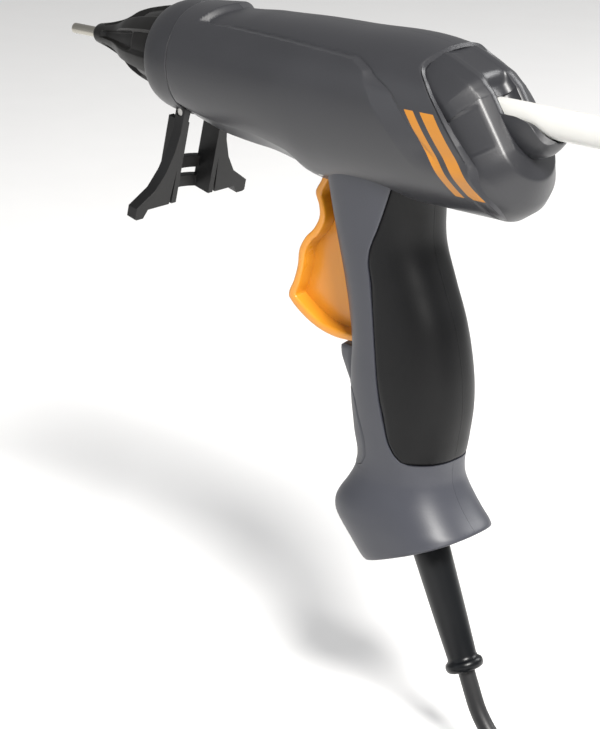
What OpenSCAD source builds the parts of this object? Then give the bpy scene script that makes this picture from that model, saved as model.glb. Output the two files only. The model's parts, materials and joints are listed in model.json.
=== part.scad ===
// Hand-held electric glue gun with a fold-out stand, a sprung trigger feed,
// a heated melting chamber and a mains cord.
// +X points to the nozzle, +Y to the gun's left, +Z up; the origin is the middle of the grip.

/* [Glue stick] */
// Diameter of the glue stick
stick_d = 11.2; // [9.3:0.1:13.5]
// Length of a fresh glue stick
stick_length = 200; // [150:5:240]

/* [Body] */
// Height of the barrel axis above the middle of the grip
axis_z = 104; // [100:0.5:125]
// Half width of the body at its rear
body_r = 32; // [29:0.5:38.5]
// Radius of the body where it meets the front collar
nose_r = 22.2; // [21.5:0.1:26.7]
// Wall thickness of the two shells
wall = 2.5; // [2:0.1:3]

/* [Handle] */
// Width of the handle at the middle of the grip
handle_w = 36; // [30:0.5:44]
// Thickness of the soft grips
grip_t = 2; // [1.4:0.1:2.2]
// Angle of the cord outlet behind the vertical, in degrees
exit_tilt = 22; // [18:1:26]

/* [Feed] */
// Swing of the trigger, in degrees
trigger_swing = 22; // [16:1:24]
// Width of the trigger
trigger_w = 17; // [14:0.5:18]

/* [Nozzle] */
// Outer diameter of the nozzle tube
tube_d = 4.2; // [3.5:0.1:5]
// Length of the bare nozzle tube
tube_reach = 14; // [8:0.5:18]

/* [Stand] */
// Length of the stand from its hinge to its feet
stand_length = 42; // [35:0.5:51]
// Width over the stand's feet
stand_span = 61.5; // [52:0.5:74]

/* [Cord] */
// Diameter of the mains cord
cord_d = 6.6; // [5.5:0.1:8]
// Length of the bend protector below the handle
protector_length = 51; // [42:1:62]
// Radius of the coiled cord's centre line
coil_r = 35.9; // [30:0.1:43]
// Height of the surface that the free cord lies on
lay_z = -150; // [-160:1:-146]

/* [Hidden] */

grey = [0.33, 0.34, 0.37];
pale_grey = [0.42, 0.43, 0.46];
dark = [0.08, 0.08, 0.09];
orange = [0.88, 0.52, 0.13];
steel = [0.66, 0.66, 0.64];

stick_r = stick_d / 2;
body_c = axis_z - 1.5;            // centre height of the round body
seam_x = 103;                     // where the shells end and the collar starts
collar_x = 118;                   // front of the collar
sleeve_x = 163;                   // front of the nozzle sleeve
tip_x = sleeve_x + tube_reach;    // end of the nozzle tube
rise = axis_z / 104;              // stretches the upper handle with the axis height
keel_half = 8.6;
housing_half = 12;
slot_half = trigger_w / 2 + 0.7;
clear = 0.15;                     // gap between pieces that are only placed together
pin_gap = 0.05;                   // radial clearance of a running fit

// ---- helpers -------------------------------------------------------------

// Unit vector along v
function unit(v) = v / norm(v);

// Corner of a polygon moved inwards by d; the polygon runs counter-clockwise
function inset_corner(a, b, c, d) =
    let (u = unit(b - a), w = unit(c - b),
         n1 = [-u[1], u[0]], n2 = [-w[1], w[0]], k = 1 + n1 * n2)
    b + d * (n1 + n2) / max(k, 0.3);

// Polygon with every side moved inwards by d
function inset(p, d) =
    let (n = len(p)) [for (i = [0:n - 1]) inset_corner(p[(i + n - 1) % n], p[i], p[(i + 1) % n], d)];

// Prism along Y over an outline drawn in X and Z
module side_prism(p, y0, y1)
    translate([0, y1, 0]) rotate([90, 0, 0]) linear_extrude(y1 - y0) polygon(p);

// Solid of revolution about an axis along X at height z, over points [x, r]
module turned(p, z, facets = 96)
    translate([0, 0, z]) rotate([0, 90, 0]) rotate_extrude($fn = facets)
        polygon([for (q = p) [q[1], q[0]]]);

// Round bar along X
module bar_x(x0, x1, r, y = 0, z = axis_z, facets = 64)
    translate([x0, y, z]) rotate([0, 90, 0]) cylinder(h = x1 - x0, r = r, $fn = facets);

// Round bar along Y
module bar_y(y0, y1, r, x, z, facets = 48)
    translate([x, y1, z]) rotate([90, 0, 0]) cylinder(h = y1 - y0, r = r, $fn = facets);

// Block between two corners
module block(a, b) translate(a) cube(b - a);

// One point of a smooth curve through b and c, a part t of the way along
function blend(a, b, c, d, t) =
    0.5 * (2 * b + (c - a) * t + (2 * a - 5 * b + 4 * c - d) * t * t
        + (3 * b - a - 3 * c + d) * t * t * t);

// Smooth curve through the points, with k steps in each stretch
function smooth(p, k) =
    let (n = len(p) - 1)
    concat([for (i = [0:n - 1]) for (j = [0:k - 1])
        blend(p[max(i - 1, 0)], p[i], p[i + 1], p[min(i + 2, n)], j / k)], [p[n]]);

// Round tube of radius r swept along the points; ref is never parallel to the route
module swept(p, r, sides, ref) {
    n = len(p);
    rings = [for (i = [0:n - 1])
        let (t = unit(p[min(i + 1, n - 1)] - p[max(i - 1, 0)]), u = unit(cross(t, ref)), v = cross(t, u))
        for (j = [0:sides - 1]) p[i] + r * (u * cos(360 * j / sides) + v * sin(360 * j / sides))];
    walls = [for (i = [0:n - 2]) for (j = [0:sides - 1])
        let (a = i * sides + j, b = i * sides + (j + 1) % sides) [b, a, a + sides, b + sides]];
    first = [for (j = [0:sides - 1]) j];
    last = [for (j = [sides - 1:-1:0]) (n - 1) * sides + j];
    polyhedron(points = rings, faces = concat(walls, [first, last]));
}

// Coil spring along X from x0 to x1
module coil_spring(x0, x1, r, wire, turns, z) {
    steps = 14;
    len_x = x1 - x0 - 2 * wire;
    p = [for (i = [0:turns * steps])
        [x0 + wire + len_x * i / (turns * steps), r * cos(360 * i / steps), z + r * sin(360 * i / steps)]];
    swept(p, wire, 6, [1, 0, 0]);
}

// ---- outer shape ---------------------------------------------------------

// Rear edge of the shells, from the top down
rim = [[-24, axis_z + 25], [-26, axis_z + 21.5], [-50, axis_z - 14], [-53.5, axis_z - 22],
    [-53.5, axis_z - 31], [-50, axis_z - 36]];

// Side view of the body; back moves its rear end outwards
function body_side(back) = concat(
    [for (q = rim) q - [back, 0]],
    [[-15, axis_z - 35.5], [36, axis_z - 37.5], [46.5, axis_z - 32.5], [seam_x, axis_z - 24],
     [seam_x, axis_z + 22], [71, axis_z + 23.5]]);

// Handle stations from the top: height, front, back, half width, half width on the diagonal
stations = [
    [78, 34, -14, 17.5, 23], [50, 28, -12, 17, 20.8], [35, 24.5, -17.5, 17, 21],
    [21, 22, -23, 17, 21.6], [10, 21, -25, 17.5, 22.6], [-2, 23.5, -27, 18, 23.6],
    [-12, 22, -27, 18, 23], [-24, 19.5, -25, 17.5, 21.6], [-36, 17, -23, 17.5, 20.6],
    [-45, 22, -24, 19.5, 23], [-53, 26.8, -28, 21.5, 26], [-58, 26.4, -34, 22, 28],
    [-84, 3.8, -34, 22, 28]];

// Height of a station, stretched above the middle of the grip
function lift(z) = z > 0 ? z * rise : z;
// Half widths follow the handle's width
function widen(w) = w * handle_w / 36;

function handle_side() = concat(
    [for (s = stations) [s[2], lift(s[0])]],
    [for (i = [len(stations) - 1:-1:0]) [stations[i][1], lift(stations[i][0])]]);
function handle_front() = concat(
    [for (s = stations) [-widen(s[3]), lift(s[0])]],
    [for (i = [len(stations) - 1:-1:0]) [widen(stations[i][3]), lift(stations[i][0])]]);
function middle(s) = (s[1] + s[2]) / 2 * cos(45);
function handle_diagonal() = concat(
    [for (s = stations) [middle(s) - widen(s[4]), lift(s[0])]],
    [for (i = [len(stations) - 1:-1:0])
        let (s = stations[i]) [middle(s) + widen(s[4]), lift(s[0])]]);

// Outlet of the cord on the handle's underside, and the way out of it
outlet = [-12.5, 0, -66.7];
way_out = [-sin(exit_tilt), 0, -cos(exit_tilt)];
// Places a child at the outlet with its +Z pointing out of the handle
module at_outlet() translate(outlet) rotate([0, 180 + exit_tilt, 0]) children();

// Solid of the handle with every side moved inwards by d
module handle_shape(d) difference() {
    intersection() {
        side_prism(inset(handle_side(), d), -40, 40);
        rotate([0, 0, 90]) side_prism(inset(handle_front(), d), -60, 60);
        rotate([0, 0, 45]) side_prism(inset(handle_diagonal(), d), -60, 60);
        rotate([0, 0, -45]) side_prism(inset(handle_diagonal(), d), -60, 60);
    }
    at_outlet() translate([-60, -40, -d]) cube([120, 80, 60]);
}

// Solid of the body with every side moved inwards by d; back opens its rear end
module body_shape(d, back) {
    intersection() {
        side_prism(inset(body_side(back), d), -45, 45);
        turned([[-70, 0], [-70, body_r - d], [-10, body_r - d], [seam_x, nose_r - d], [seam_x, 0]], body_c);
    }
    intersection() {
        side_prism(inset(body_side(back), d), -keel_half + d, keel_half - d);
        block([44, -20, axis_z - 40], [seam_x - d, 20, axis_z - 10]);
    }
    intersection() {
        side_prism(inset(body_side(back), d), -housing_half + d, housing_half - d);
        block([0, -20, axis_z - 40], [46, 20, axis_z - 10]);
    }
}

// ---- trigger geometry ----------------------------------------------------

pivot = [31, axis_z - 31];
arm = 18.5;
stroke = 2 * arm * tan(trigger_swing / 2);
pin_x = pivot[0] - stroke / 2;        // carriage pin with the trigger released
pin_z = pivot[1] + arm;
trigger_rise = pivot[1] / 73;

// Space that the trigger needs inside the handle
trigger_space = [[-16, 6.2 * rise], [62, 6.2 * rise], [62, axis_z - 44], [40, axis_z - 38],
    [40, axis_z - 24], [20, axis_z - 24], [4, axis_z - 50]];

// ---- shells --------------------------------------------------------------

screw_seats = [[46, axis_z + 17], [-12, axis_z + 15], [-34, axis_z - 26], [64, axis_z - 22.5],
    [9, -26], [14, -52]];

// Side view of the soft grips' area
grip_area = [[-36, -31], [-13, -31], [-6.5, -25], [-1.5, -8], [1.5, lift(12)], [4, lift(36)],
    [5.5, lift(46)], [1, lift(58)], [-4, lift(71)], [-36, lift(71)]];
// Side view of the trim strip on the handle's front
insert_area = [[6.5, -34], [18, -38.5], [32, -38.5], [32, -8.5], [24, -8.5], [14, -6.5],
    [9, -17.5], [5.5, -29]];

// Slab just inside the rear edge, between two distances from it
function slab(a, b) = concat([for (q = rim) q + [a, 0]], [[-50 + a, axis_z - 45], [-50 + b, axis_z - 45]],
    [for (i = [len(rim) - 1:-1:0]) rim[i] + [b, 0]], [[-24 + b, axis_z + 30], [-24 + a, axis_z + 30]]);

module hollow_shape() difference() {
    union() {
        body_shape(0, 0);
        handle_shape(0);
        // finger rest below the trigger
        intersection() {
            side_prism([[12, -3], [24, -3], [27, 0.5], [27, 4.6 * rise], [26, 5.6 * rise], [12, 5.6 * rise]], -9.5, 9.5);
            translate([15, 0, -10]) cylinder(h = 30, r = 12.2, $fn = 64);
        }
        // hinge block of the stand
        block([seam_x - 4, -keel_half, axis_z - 24.4], [seam_x + 6, keel_half, axis_z - 17.5]);
        bar_y(-5, 5, 6, 78, axis_z - 24.5);
    }
    difference() {
        union() {
            body_shape(wall, 12);
            handle_shape(grip_t + wall);
            // way up for the leads
            block([2, -lead_side - 3.6, lift(60)], [18, lead_side + 3.6, axis_z - 24]);
        }
        block([seam_x - 6, -20, axis_z - 30], [seam_x, 20, axis_z - 16.5]);
    }
    // opening at the nose, where the collar and the chamber pass
    bar_x(seam_x - 10, seam_x + 1, nose_r - wall - 1, 0, body_c, 96);
    // groove of the rear cap
    intersection() { body_shape(wall - 1.2, 12); side_prism(slab(6, 8.2), -40, 40); }
    // recesses of the soft grips and of the trim strip
    difference() {
        intersection() { handle_shape(-3); side_prism(grip_area, -40, 40); }
        handle_shape(grip_t);
        body_shape(0, 0);
    }
    difference() {
        intersection() { handle_shape(-3); side_prism(insert_area, -40, 40); }
        handle_shape(1.6);
    }
    side_prism(trigger_space, -slot_half, slot_half);
    // notches for the stand's legs beside the hinge block
    for (s = [-1, 1])
        block([seam_x - 4.5, s > 0 ? keel_half : -14, axis_z - 28],
              [seam_x + 8, s > 0 ? 14 : -keel_half, axis_z - 16.3]);
    // room for the legs' roots when the stand is folded
    for (s = [-1, 1])
        block([seam_x - 8.2, s > 0 ? keel_half : -keel_half - 3.2, axis_z - 28],
              [seam_x - 4.4, s > 0 ? keel_half + 3.2 : -keel_half, axis_z - 20.6]);
    bar_y(-30, 30, 1.5, stand_hinge[0], stand_hinge[1]);
    // outlet of the cord
    at_outlet() {
        translate([0, 0, -12]) cylinder(h = 20, r = 6.6, $fn = 64);
        translate([0, 0, -9]) cylinder(h = 4.2, r = 9.3, $fn = 64);
    }
}

// Rails that guide the carriage, and the bearings of the trigger pin
module inner_ribs(s) {
    intersection() {
        union() {
            for (z = [1.8, -4]) block([8, s > 0 ? 11.2 : -40, axis_z + z], [50, s > 0 ? 40 : -11.2, axis_z + z + 2.2]);
            difference() {
                block([-4, s > 0 ? 0 : -40, axis_z - 30], [-1, s > 0 ? 40 : 0, axis_z + 24]);
                bar_x(-6, 2, stick_r + 2.2);
            }
        }
        body_shape(wall - 0.5, 0);
    }
    bar_y(s > 0 ? slot_half - 0.3 : -housing_half - 2, s > 0 ? housing_half + 2 : -slot_half + 0.3, 4, pivot[0], pivot[1]);
}

// Screw posts: blind on the left side, with a sunk head on the right side
module screw_post(q, s) intersection() {
    bar_y(s > 0 ? 0 : -40, s > 0 ? 40 : 0, s > 0 ? 3.6 : 4.6, q[0], q[1]);
    union() {
        body_shape(wall / 2, 0);
        handle_shape(grip_t + wall / 2);
    }
}

module shell_half(s) difference() {
    union() {
        intersection() {
            hollow_shape();
            block([-90, s > 0 ? 0 : -50, -100], [150, s > 0 ? 50 : 0, 160]);
        }
        inner_ribs(s);
        for (q = screw_seats) screw_post(q, s);
        // seat of the cord clamp
        if (s > 0) at_outlet() block([-10, -10, -26], [-3.4, 18, -17]);
    }
    bar_y(-30, 30, 2.02, pivot[0], pivot[1]);
    for (q = screw_seats) {
        bar_y(-2, 9, s > 0 ? 1.42 : 1.7, q[0], q[1]);
        bar_y(-60, -6, 3.1, q[0], q[1]);
        bar_y(-7, 0, 1.7, q[0], q[1]);
    }
}

module left_shell() color(grey) shell_half(1);
module right_shell() color(grey) shell_half(-1);

module shell_screws() color(steel) for (q = screw_seats) {
    bar_y(-9, -6, 2.8, q[0], q[1]);
    bar_y(-6.01, 8, 1.4, q[0], q[1]);
}

module front_collar() color(pale_grey) difference() {
    turned([[seam_x, nose_r - 3], [seam_x, nose_r], [108, nose_r - 0.3], [113, nose_r - 1.2],
        [collar_x - 1.2, nose_r - 2.8], [collar_x, nose_r - 4.2], [collar_x - 0.6, nose_r - 5.4],
        [108, nose_r - 4.5]], body_c);
    block([seam_x - 1, -14, axis_z - 30], [seam_x + 8, 14, axis_z - 16.3]);
}

// ---- hot end -------------------------------------------------------------

chamber_r = stick_r + 4.9;

module nozzle_sleeve() color(dark) difference() {
    union() {
        turned([[108, 0], [108, 15.1], [118, 14.9], [127, 13.6], [137, 10.6], [143, 8.4], [150, 5.9],
            [159, 4.3], [162, 3.8], [sleeve_x, 3.3], [sleeve_x, 0]], axis_z);
        // cooling fins
        for (a = [30:60:330]) translate([0, 0, axis_z]) rotate([a, 0, 0])
            side_prism([[112, 8], [152, 4], [146, 9.6], [136, 13.6], [121, 15.8], [118.6, 15],
                [112, 14.8]], -1.2, 1.2);
    }
    turned([[107, 0], [107, 13.4], [118, 13.2], [127, 11.6], [137, 8.6], [145, 6.5], [150, 3.9],
        [154, tube_d / 2 + 0.3], [165, tube_d / 2 + 0.3], [165, 0]], axis_z);
}

module nozzle() color(steel) difference() {
    union() {
        bar_x(145, sleeve_x + 0.5, tube_d / 2 - 0.5);
        bar_x(sleeve_x + 0.5, tip_x, tube_d / 2);
        bar_x(137, 146, 4.4);
        bar_x(130.5, 137, 6, 0, axis_z, 6);
        bar_x(123, 130.5, 4);
    }
    bar_x(122, 131, 1.4);
    bar_x(127, 141, 2.3);
    bar_x(140, tip_x + 1, 1.1);
}

module valve_ball() color(steel) translate([127 + sqrt(1.9 * 1.9 - 1.4 * 1.4) + 0.02, 0, axis_z]) sphere(r = 1.9, $fn = 48);
module valve_spring() color(steel) coil_spring(130.2, 141, 1.7, 0.25, 6, axis_z);

module melt_chamber() color([0.7, 0.71, 0.72]) difference() {
    union() {
        bar_x(62, 122, chamber_r);
        bar_x(122, 130.4, 6.6);
        block([74, -8, axis_z - chamber_r - 7.5], [96, 8, axis_z - 4]);
        block([84, -3.2, axis_z + chamber_r - 2], [93, 3.2, axis_z + chamber_r + 3.4]);
    }
    turned([[61, 0], [61, stick_r + 0.4], [98, stick_r + 0.4], [118, 2.4], [124, 2.4], [124, 0]], axis_z);
    bar_x(61, 70, stick_r + 2.5);
    bar_x(122.9, 131, 4.02);
    block([73, -6.6, axis_z - chamber_r - 5.2], [95, 6.6, axis_z - chamber_r - 1.9]);
    bar_x(83, 94, 2.05, 0, axis_z + chamber_r + 2.4);
}

module heater_element() color([0.85, 0.83, 0.76])
    block([74.5, -6.3, axis_z - chamber_r - 5.1], [94.5, 6.3, axis_z - chamber_r - 2]);

module heater_clamp() color(steel) difference() {
    block([80, -9.2, axis_z - chamber_r - 8.8], [92, 9.2, axis_z - chamber_r]);
    block([79, -8.1, axis_z - chamber_r - 7.6], [93, 8.1, axis_z]);
}

module thermal_fuse() color([0.8, 0.8, 0.78]) bar_x(82, 95, 2, 0, axis_z + chamber_r + 2.4);

module inlet_sleeve() color([0.75, 0.3, 0.22]) difference() {
    union() {
        bar_x(54, 69.9, stick_r + 2.4);
        bar_x(57, 61.8, stick_r + 3.6);
    }
    bar_x(53, 71, stick_r + 0.3);
}

module chamber_holder() color(dark) difference() {
    bar_x(70, 73.4, nose_r - 0.2, 0, body_c, 96);
    bar_x(69, 74, chamber_r + 0.1);
    for (s = [-1, 1]) bar_x(69, 74, 2.2, 14 * s, axis_z - 16);
}

// ---- feed ----------------------------------------------------------------

module guide_tube() color(dark) difference() {
    bar_x(-38, 12, stick_r + 2);
    bar_x(-39, 13, stick_r + 0.6);
}

carriage_x = pin_x - 12.4;            // rear face of the carriage
jaw_pivot = [carriage_x + 7, axis_z + stick_r + 7.4];

module feed_carriage() color(dark) difference() {
    union() {
        block([carriage_x, -10.5, axis_z - 9.5], [carriage_x + 20, 10.5, axis_z + 9.5]);
        block([carriage_x, -13, axis_z - 1.5], [carriage_x + 20, 13, axis_z + 1.5]);
        for (s = [-1, 1]) {
            block([pin_x - 5, s > 0 ? 4.2 : -7.6, pin_z - 3.5], [pin_x + 5, s > 0 ? 7.6 : -4.2, axis_z - 9]);
            block([jaw_pivot[0] - 4, s > 0 ? 4.4 : -7.4, axis_z + 9], [jaw_pivot[0] + 4, s > 0 ? 7.4 : -4.4, jaw_pivot[1] + 3]);
        }
    }
    bar_x(carriage_x - 1, carriage_x + 21, stick_r + 0.5);
    block([carriage_x + 2.5, -4.4, axis_z], [carriage_x + 17, 4.4, axis_z + 20]);
    bar_y(-20, 20, 2, pin_x, pin_z);
    bar_y(-20, 20, 1.5, jaw_pivot[0], jaw_pivot[1]);
}

module carriage_pin() color(steel) bar_y(-7.6, 7.6, 2, pin_x, pin_z);
module clamp_pin() color(steel) bar_y(-7.4, 7.4, 1.5, jaw_pivot[0], jaw_pivot[1]);

module clamp_lever() color([0.5, 0.5, 0.52]) difference() {
    union() {
        bar_y(-4, 4, 3, jaw_pivot[0], jaw_pivot[1]);
        side_prism([[jaw_pivot[0] - 2.8, jaw_pivot[1]], [jaw_pivot[0] + 2, axis_z + stick_r + 0.9],
            [jaw_pivot[0] + 4.4, axis_z + stick_r + 0.2], [jaw_pivot[0] + 5.6, axis_z + stick_r + 0.3],
            [jaw_pivot[0] + 6, axis_z + stick_r + 2.2], [jaw_pivot[0] + 2.6, jaw_pivot[1] + 1]], -4, 4);
    }
    bar_y(-5, 5, 1.5 + pin_gap, jaw_pivot[0], jaw_pivot[1]);
}

module return_spring() color(steel) coil_spring(carriage_x + 20, 54, stick_r + 1.8, 0.45, 7, axis_z);

// Outline of the finger part, measured from the pivot's height downwards
finger = [[19.4, 8.2], [28.6, 7.4], [36.4, 8.8], [45, 12.6], [51.8, 18], [52.7, 19.6], [49.8, 25.8],
    [47.8, 32], [46.6, 39], [44, 43.6], [39.6, 48.4], [36.8, 53.6], [37, 58], [38.8, 62.2],
    [37.6, 65], [35, 66.5], [35, 70], [31, 78.5], [26.6, 73], [27, 62], [22, 45], [17, 27], [13, 12]];

// Outline of the side pockets in the finger part
finger_pocket = [[30, 12], [40, 14], [48, 19.5], [45.6, 26], [43.6, 38], [40, 43], [35.4, 48],
    [32.6, 54], [31, 50], [26.6, 40], [23, 27], [20.6, 14]];

module trigger() color(orange) difference() {
    union() {
        side_prism([for (q = finger) [q[0], q[1] * trigger_rise]], -trigger_w / 2, trigger_w / 2);
        bar_y(-trigger_w / 2, trigger_w / 2, 4.6, pivot[0], pivot[1]);
        translate([pivot[0], 0, pivot[1]]) rotate([0, -trigger_swing / 2, 0])
            block([-5.4, -3.6, 0], [5.4, 3.6, arm + 2]);
    }
    // side pockets
    for (s = [-1, 1])
        side_prism([for (q = finger_pocket) [q[0], q[1] * trigger_rise]],
            s > 0 ? 2 : -trigger_w, s > 0 ? trigger_w : -2);
    bar_y(-20, 20, 2 + pin_gap, pivot[0], pivot[1]);
    // fork for the carriage pin
    translate([pivot[0], 0, pivot[1]]) rotate([0, -trigger_swing / 2, 0])
        block([-2.3, -5, arm / cos(trigger_swing / 2) - 2.8], [2.3, 5, arm + 4]);
}

module trigger_pin() color(steel) bar_y(-13.5, 13.5, 2, pivot[0], pivot[1]);

// ---- rear cap, grips and trim --------------------------------------------

face_tilt = 33.2;                      // lean of the rear face
module at_face() translate([-62, 0, axis_z - 19.5]) rotate([0, face_tilt, 0]) children();

module rear_cap() color(grey) difference() {
    union() {
        intersection() { body_shape(wall + clear, 12); side_prism(slab(5, 9), -40, 40); }
        intersection() { body_shape(wall - 1, 12); side_prism(slab(6.1, 8.1), -40, 40); }
        intersection() {
            at_face() {
                // tapered block with a round lower end
                translate([0, 0, 12.6]) rotate([0, 90, 0]) cylinder(h = 7.4, r1 = 12.6, r2 = 19, $fn = 96);
                translate([7.4, 0, 12.6]) rotate([0, 90, 0]) cylinder(h = 14, r = 19, $fn = 96);
                translate([0, 0, 12.6]) linear_extrude(50)
                    polygon([[0, -12.6], [0, 12.6], [7.4, 19], [21.4, 19], [21.4, -19], [7.4, -19]]);
            }
            side_prism([[-72, axis_z - 33], [-40, axis_z - 33], [-15, axis_z + 20.4], [-23.4, axis_z + 20.4],
                [-34.6, axis_z + 15.8], [-41, axis_z + 13], [-72, axis_z - 30]], -30, 30);
            body_shape(wall + clear, 22);
        }
        // cradle under the stick
        intersection() {
            bar_x(-67.5, -44, stick_r + 2.8);
            side_prism([[-44, axis_z - 14], [-56, axis_z - 14], [-66, axis_z - 10], [-68, axis_z - 6.4],
                [-60, axis_z - 4], [-44, axis_z - 3]], -20, 20);
        }
    }
    bar_x(-80, 0, stick_r + 0.6);
    bar_x(-38.1, 0, stick_r + 2.05);
    // trough above the stick's port
    at_face() block([-6, -stick_r - 0.6, 19.4], [4, stick_r + 0.6, 70]);
}

module grip_side(s) color(dark) intersection() {
    difference() {
        intersection() { handle_shape(0); side_prism(grip_area, -40, 40); }
        handle_shape(grip_t);
        body_shape(0, 0);
    }
    block([-60, s > 0 ? 0 : -40, -60], [40, s > 0 ? 40 : 0, 120]);
}
module grip_left() grip_side(1);
module grip_right() grip_side(-1);

module front_insert() color(grey * 0.8) difference() {
    intersection() { handle_shape(0); side_prism(insert_area, -40, 40); }
    handle_shape(1.6);
}

// ---- stand ---------------------------------------------------------------

stand_hinge = [105, axis_z - 21];
stand_lean = 14;                       // the open stand leans towards the nozzle
half_span = stand_span / 2;
leg_outline = [[9, 4], [13, 4], [13, -8], [14.5, -16], [17.5, -24], [22, -31],
    [half_span, 5 - stand_length], [half_span, 0.5 - stand_length], [half_span - 1, -stand_length],
    [half_span - 4.5, -stand_length], [half_span - 6.5, 3.4 - stand_length], [12.8, 3.4 - stand_length]];

module stand() color(dark) difference() {
    translate([stand_hinge[0], 0, stand_hinge[1]]) rotate([0, -stand_lean, 0]) {
        for (s = [0, 1]) mirror([0, s, 0]) {
            intersection() {
                union() {
                    translate([-2.6, 0, 0]) rotate([90, 0, 90]) linear_extrude(4.6) polygon(leg_outline);
                    block([-2.6, 9, 3.4 - stand_length], [6.4, 11.6, -4]);
                }
                union() { block([-5, 0, -60], [8, 50, 0]); bar_y(0, 50, 3.4, 0, 0); }
            }
        }
        // two bars bowed to the front
        for (z = [11.8 - stand_length, 3.4 - stand_length])
            translate([-14, 0, z]) intersection() {
                difference() {
                    cylinder(h = 5, r = 23.6, $fn = 96);
                    translate([0, 0, -1]) cylinder(h = 7, r = 21, $fn = 96);
                }
                block([12, -11.4, -1], [30, 11.4, 7]);
            }
    }
    bar_y(-40, 40, 1.5 + pin_gap, stand_hinge[0], stand_hinge[1]);
}

module stand_pin() color(steel) bar_y(-12.6, 12.6, 1.5, stand_hinge[0], stand_hinge[1]);

// ---- cord inlet ----------------------------------------------------------

cord_r = cord_d / 2;

module bend_protector() color(dark) at_outlet() difference() {
    union() {
        translate([0, 0, -8.8]) cylinder(h = 3.8, r = 9, $fn = 64);
        translate([0, 0, -6]) cylinder(h = 6, r = 6.4, $fn = 64);
        cylinder(h = protector_length - 4, r1 = 7.3, r2 = 5.7, $fn = 64);
        translate([0, 0, protector_length - 4]) cylinder(h = 4, r = 7.4, $fn = 64);
    }
    translate([0, 0, -10]) cylinder(h = protector_length + 11, r = cord_r + 0.1, $fn = 48);
}

module cord_inner() color(dark) at_outlet() translate([0, 0, -34])
    cylinder(h = 34 + protector_length, r = cord_r, $fn = 48);

module cord_clamp() color(dark) at_outlet() difference() {
    block([cord_r + 0.05 - 0.4, -9.5, -25], [cord_r + 5, 9.5, -18]);
    translate([0, 0, -30]) cylinder(h = 20, r = cord_r, $fn = 48);
    for (s = [-1, 1]) translate([0, 7 * s, -21.5]) rotate([0, 90, 0]) cylinder(h = 20, r = 1.3, $fn = 32);
}

module clamp_screws() color(steel) at_outlet() for (s = [-1, 1]) translate([0, 7 * s, -21.5]) rotate([0, 90, 0]) {
    translate([0, 0, -3.3]) cylinder(h = cord_r + 8.4, r = 1.25, $fn = 32);
    translate([0, 0, cord_r + 5]) cylinder(h = 1.8, r = 2.4, $fn = 32);
}

block_bores = [-3.6, 3.6];
module terminal_block() color([0.85, 0.85, 0.82]) difference() {
    block([-9, -7, -24], [4, 7, -12]);
    for (y = block_bores) translate([-3, y, -25]) cylinder(h = 14, r = 1.5, $fn = 32);
}

supply_start = outlet - way_out * 34;
module supply_leads() color([0.25, 0.35, 0.6]) for (s = [-1, 1])
    swept(smooth([supply_start + [0, 1.4 * s, 0.02], [-1, 2 * s, -32], [-3, 3.6 * s, -27], [-3, 3.6 * s, -20]], 3), 1, 8, [0, 1, 0]);

// the leads pass beside and behind the trigger, within the handle's walls
lead_side = handle_w / 2 - 7.6;
module heater_leads() color([0.8, 0.78, 0.7]) for (s = [-1, 1])
    swept(smooth([[-3, 3.6 * s, -16], [-3, 3.6 * s, -10], [-7, 7 * s, -2], [-12, lead_side * s, 14],
        [-8, (lead_side - 0.9) * s, lift(37)], [0, lead_side * s, lift(56)], [7, lead_side * s, axis_z - 32],
        [14, (lead_side + 0.8) * s, axis_z - 26], [25, 14 * s, axis_z - 20], [45, 15 * s, axis_z - 17],
        [70, 14 * s, axis_z - 16], [75, 13 * s, axis_z - 16], [78, 10.2 * s, axis_z - 15]], 3), 0.9, 8, [0.2, 1, 0]);

module glue_stick() color([0.93, 0.92, 0.86]) bar_x(86 - stick_length, 86, stick_r);

// ---- free cord -----------------------------------------------------------

cord_start = outlet + way_out * protector_length;
lay = lay_z + cord_r;
coil_pitch = cord_d + 0.1;
coil_c = [-86, coil_r + 8.1];
coil_half_w = 1.5 * coil_pitch + 0.2;
coil_h = 2 * cord_d;
coil_side = coil_c[1] + coil_r + coil_pitch;   // the cord leaves the coil here

route = [cord_start, cord_start + way_out * 12, [-43.8, 0.2, lay + 8.8], [-54.7, 0.6, lay + 1.8],
    [-66, 1, lay], [-80, 1.4, lay]];
module cord() color(dark) swept(smooth(route, 2), cord_r, 10, [1, 1, 0]);

module cord_coil() color(dark) translate([coil_c[0], coil_c[1], lay_z]) rotate_extrude($fn = 96)
    translate([coil_r - coil_half_w, 0]) square([2 * coil_half_w, coil_h]);

module coil_tie() color([0.15, 0.15, 0.16]) translate([coil_c[0] + coil_r, coil_c[1], lay_z])
    difference() {
        block([-coil_half_w - 1.6, -5, 0], [coil_half_w + 1.6, 5, coil_h + 1.3]);
        block([-coil_half_w - 0.4, -6, -1], [coil_half_w + 0.4, 6, coil_h + 0.1]);
    }

plug_place = [-36, coil_side - 16.9, lay + 3];
tail = [[-84, coil_side, lay + cord_d], [-72, coil_side - 1.7, lay + cord_d], [-59, coil_side - 8.4, lay + cord_d - 0.2],
    [-49, coil_side - 14, lay + cord_d - 1.2], [-42, coil_side - 16.4, lay + cord_d - 2.3], plug_place];
module cord_tail() color(dark) swept(smooth(tail, 2), cord_r, 10, [0, 0, 1]);

module at_plug() translate(plug_place) rotate([0, 0, 90]) rotate([90, 0, 0]) children();
module plug_body() color(dark) at_plug() {
    cylinder(h = 18, r1 = 4.6, r2 = 6.2, $fn = 48);
    translate([0, 0, 17]) hull() for (x = [-8, 8]) translate([x, 0, 0]) cylinder(h = 22, r = 6.2, $fn = 32);
    translate([0, 0, 39]) hull() for (x = [-12, 12]) translate([x, 0, 0]) cylinder(h = 5, r = 6.2, $fn = 32);
}
module plug_pins() color(steel) at_plug() for (x = [-9.5, 9.5]) translate([x, 0, 44]) cylinder(h = 19, r = 2.4, $fn = 32);

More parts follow.
